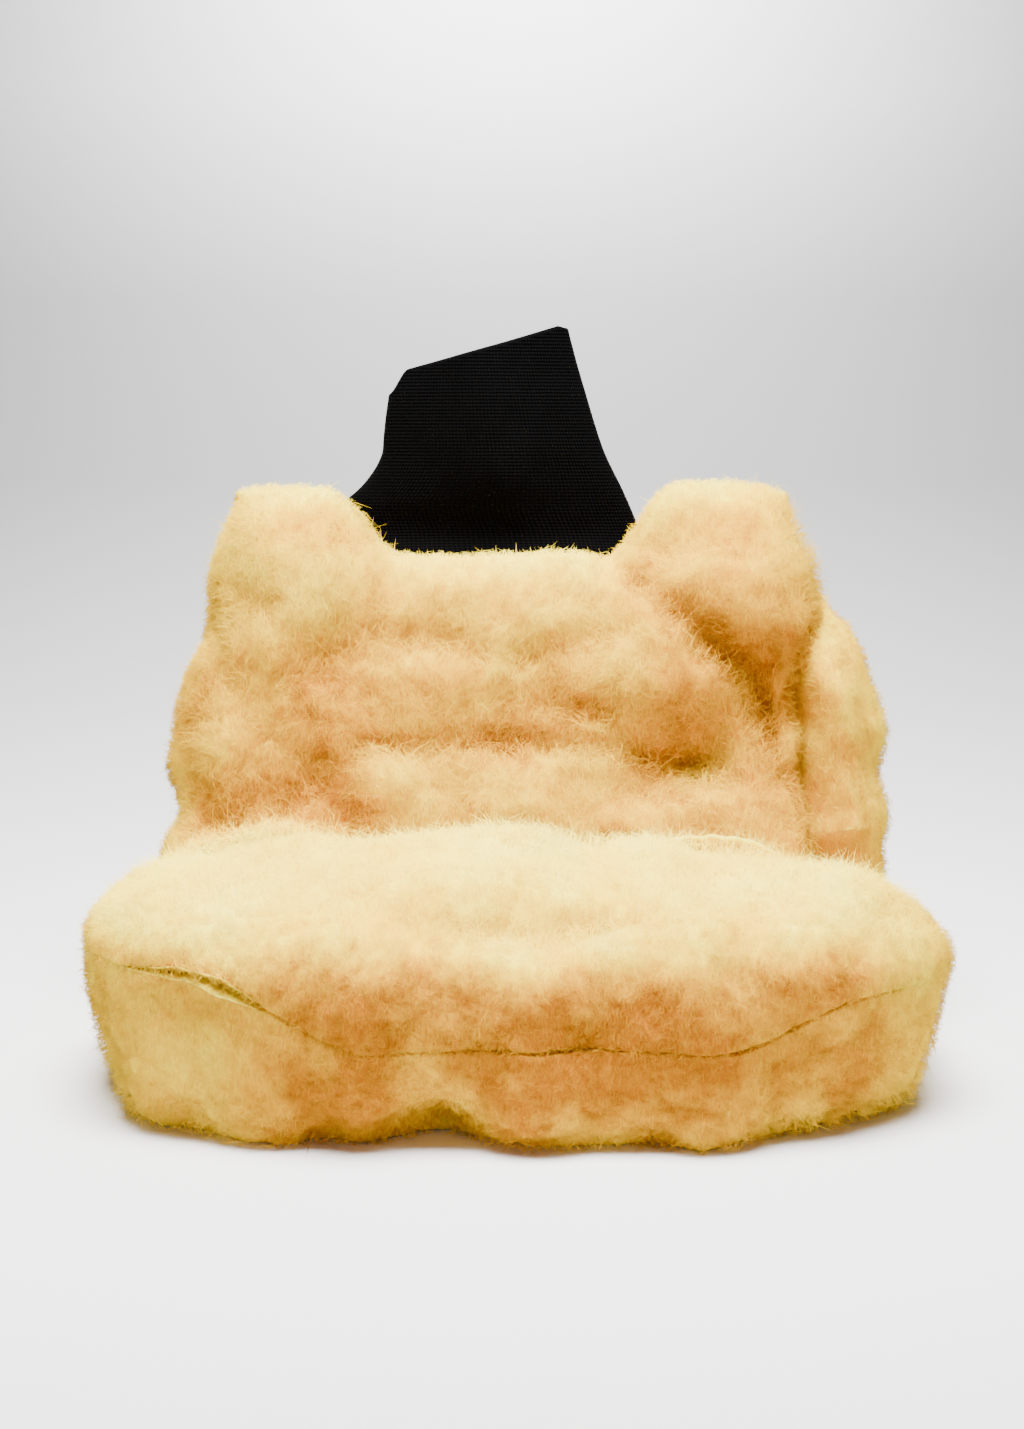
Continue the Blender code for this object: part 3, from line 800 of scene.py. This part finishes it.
def cuff_edges(v):
    """The cuff's left and right edges at a height along it, in metres."""
    heights = np.array([-18, -6, 3, 8, 12, 15, 18, 23, 28, 33, 40, 48, 56, 68]) / 1000
    left = np.array([-55, -53, -53, -55, -55.5, -51, -48, -44.2, -41.8, -41.6, -40.8, -39.6, -38.4, -37]) / 1000
    right = np.array([48, 44, 41.5, 39.5, 37.8, 36.4, 35, 32.4, 30, 28.2, 26, 23.6, 21.2, 18]) / 1000
    spread = np.linspace(-0.018, 0.072, 361)
    soft = np.exp(-0.5 * (np.arange(-24, 25) * (spread[1] - spread[0]) / 0.0014) ** 2)
    soft = soft / soft.sum()
    both = []
    for edge_values in (left, right):
        line = np.interp(spread, heights, edge_values)
        both.append(np.interp(v, spread, np.convolve(np.pad(line, 24, mode="edge"), soft, mode="valid")))
    return both


def knit_cuff(finish_made):
    """A tube knitted double: its section is a flat oval between the cuff's edges, its profile a hairpin.

    The profile runs up the outside, over the folded top, down the inside, and back up and down between
    the plies. Ribs stand on the two faces that show.
    """
    bow = np.linspace(0, math.pi, 9)[1:-1]
    between = np.linspace(0, 0.985, 12)
    w = np.concatenate([np.linspace(0, 1, 76), np.ones(7), np.linspace(1, 0, 34), between, between[::-1]])
    off = np.concatenate([
        np.zeros(76), CUFF_KNIT / 2 * (1 - np.cos(bow)), np.full(34, CUFF_KNIT),
        np.full(12, CUFF_KNIT - CUFF_PLY), np.full(12, CUFF_PLY),
    ])
    rise = np.concatenate([np.zeros(76), CUFF_KNIT / 2 * np.sin(bow), np.zeros(58)])
    shown = np.concatenate([np.ones(76 + 7 + 34), np.zeros(24)])
    columns = 4 * WALES
    t = np.arange(columns) / columns
    ramp = 1 - 4 * np.abs(t - 0.5)
    sweep = 0.62 * ramp + 0.38 * np.sin(ramp * math.pi / 2)
    front = np.where(t < 0.5, 1.0, -1.0)
    u, w = np.meshgrid(sweep, w, indexing="ij")
    off = np.broadcast_to(off, u.shape)
    face = np.broadcast_to(front[:, None], u.shape)

    top = CUFF_HEIGHT + CUFF_TOP_TILT * u - 0.0065 * s_curve(-u, 0.84, 1.0) - 0.0012 * s_curve(u, 0.90, 1.0)
    v = CUFF_ROOT + (top - CUFF_ROOT) * w
    left, right = cuff_edges(v)
    middle, wide = (left + right) / 2, (right - left) / 2 - off
    deep = 0.0095 - 0.0025 * s_curve(v, -0.012, 0.002)
    deep = deep + 0.0025 * s_curve(v, 0.004, 0.03) - 0.0015 * s_curve(v, 0.04, 0.066)
    full = np.sqrt(np.maximum(1 - u**2, 0)) ** 0.9
    ridge = 0.0042 * np.exp(-(((u + 0.12 + 3.0 * (v - 0.03)) / 0.42) ** 2)) * s_curve(v, 0.0, 0.022)
    h = face * (deep - off) * full + np.where(face > 0, ridge, 0.4 * ridge) * full**0.5
    x = middle + wide * u
    shell = np.stack([x, v, face * 0.03], axis=-1).reshape(-1, 3)
    wrinkle = 0.0008 * layered(shell * np.array([1.0, 0.55, 1.0]), 0.017, 3, 77).reshape(x.shape)
    h = h + wrinkle * s_curve(v, -0.004, 0.01) * full**0.5
    rib = 0.00010 * np.cos(2 * math.pi * np.arange(columns) / 4)[:, None] * shown
    h = h + face * rib * full**0.3
    y, z, lean = cuff_path(v)
    y = y - h * np.sin(lean) + rise * np.cos(lean)
    z = z + h * np.cos(lean) + rise * np.sin(lean)
    places = np.stack([x, y, z], axis=-1)
    made = mesh_object("knit_cuff", places.reshape(-1, 3), grid_faces(*x.shape, True, True), finish_made)
    lay_knit_map(made, x.shape, v)
    return made


def lay_knit_map(made, shape, v):
    """A UV map in wales and courses: the column's number over four, and the height over a course's pitch."""
    columns, rows = shape
    loops = np.zeros(len(made.data.loops), np.int32)
    made.data.loops.foreach_get("vertex_index", loops)
    column, row = loops // rows, loops % rows
    first = loops.reshape(-1, 4)[:, :1] // rows
    wrapped = (column.reshape(-1, 4) == 0) & (first == columns - 1)
    wales = np.where(wrapped, columns, column.reshape(-1, 4)).reshape(-1) / 4
    courses = v[column, row] / COURSE
    layer = made.data.uv_layers.new(name="knit")
    layer.data.foreach_set("uv", np.stack([wales, courses], axis=1).astype(np.float32).ravel())


# ---------------------------------------------------------------- the studio

def studio():
    """A pale sweep: floor, a quarter-round turn-up and a wall, as one extruded profile."""
    turn = np.linspace(0, math.pi / 2, 40)
    radius, start = 0.42, 0.16
    y = np.concatenate([[-2.0], start + radius * np.sin(turn), [start + radius]])
    z = np.concatenate([[0.0], radius - radius * np.cos(turn), [1.6]])
    x = np.array([-1.6, 1.6])
    places = np.stack([np.repeat(x, len(y)), np.tile(y, 2), np.tile(z, 2)], axis=1)
    sweep = mesh_object("studio_sweep", places, grid_faces(2, len(y)), studio_paper())


def area_light(name, place, aim, size, energy, spread=180.0):
    lamp = bpy.data.lights.new(name, "AREA")
    lamp.spread = math.radians(spread)
    lamp.shape = "RECTANGLE"
    lamp.size, lamp.size_y = size
    lamp.energy = energy
    made = bpy.data.objects.new(name, lamp)
    made.location = place
    way = np.array(aim, float) - np.array(place, float)
    made.rotation_euler = Vector(way).to_track_quat("-Z", "Y").to_euler()
    bpy.context.scene.collection.objects.link(made)


def lights():
    area_light("top_softbox", (0.0, -0.10, 0.95), (0.0, -0.04, 0.0), (0.70, 0.45), 12.5, 75.0)
    area_light("wall_wash", (0.0, 0.40, 0.56), (0.0, 0.58, 0.38), (0.20, 0.06), 3.0, 120.0)
    area_light("front_fill", (0.0, -1.5, 0.75), (0.0, 0.0, 0.08), (1.4, 1.0), 2.4)
    world = bpy.data.worlds.new("studio_air")
    world.use_nodes = True
    world.node_tree.nodes["Background"].inputs["Color"].default_value = (0.95, 0.96, 1.0, 1.0)
    world.node_tree.nodes["Background"].inputs["Strength"].default_value = 0.09
    bpy.context.scene.world = world


def camera():
    data = bpy.data.cameras.new("camera")
    data.lens = 68.0
    data.sensor_width = 36.0
    made = bpy.data.objects.new("camera", data)
    made.location = (0.0, -0.802, 0.275)
    made.rotation_euler = (math.radians(90 - 12), 0.0, 0.0)
    bpy.context.scene.collection.objects.link(made)
    bpy.context.scene.camera = made


def build():
    camera()
    studio()
    lights()

    dense, fibre, hide, knit = dense_wool(), wool_fibre(), suede(), black_knit()
    for name, side in (("front", 1), ("back", -1)):
        skin = skin_panel(f"{name}_skin_panel", side, hide)
        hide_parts(f"{name}_skin")
        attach(skin, "mitt")
        pile = wool_panel(f"{name}_wool_pile", side, dense, PANEL_SEED)
        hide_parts(f"{name}_wool")
        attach(pile, "mitt")
        for piece in fibres(pile, f"{name}_wool_fibres", FIBRES[name], fibre, PANEL_SEED + side):
            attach(piece, "mitt")

    cuff = knit_cuff(knit)
    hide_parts("cuff_sewn_edge", "cuff_bend_band", "cuff_tube")
    low_y, low_z, _ = cuff_path(CUFF_BENDS[0])
    high_y, high_z, _ = cuff_path(CUFF_BENDS[1])
    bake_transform(cuff)

    cream = twisted_thread("cream_thread", (0.62, 0.52, 0.34), (0.92, 0.86, 0.70))
    black = twisted_thread("black_thread", (0.006, 0.006, 0.007), (0.02, 0.02, 0.022))
    for name, made in (("perimeter_seam_thread", cream), ("mouth_seam_thread", cream),
                       ("cuff_side_seam_thread", black)):
        frame["nodes"][name].data.materials.clear()
        frame["nodes"][name].data.materials.append(made)


build()
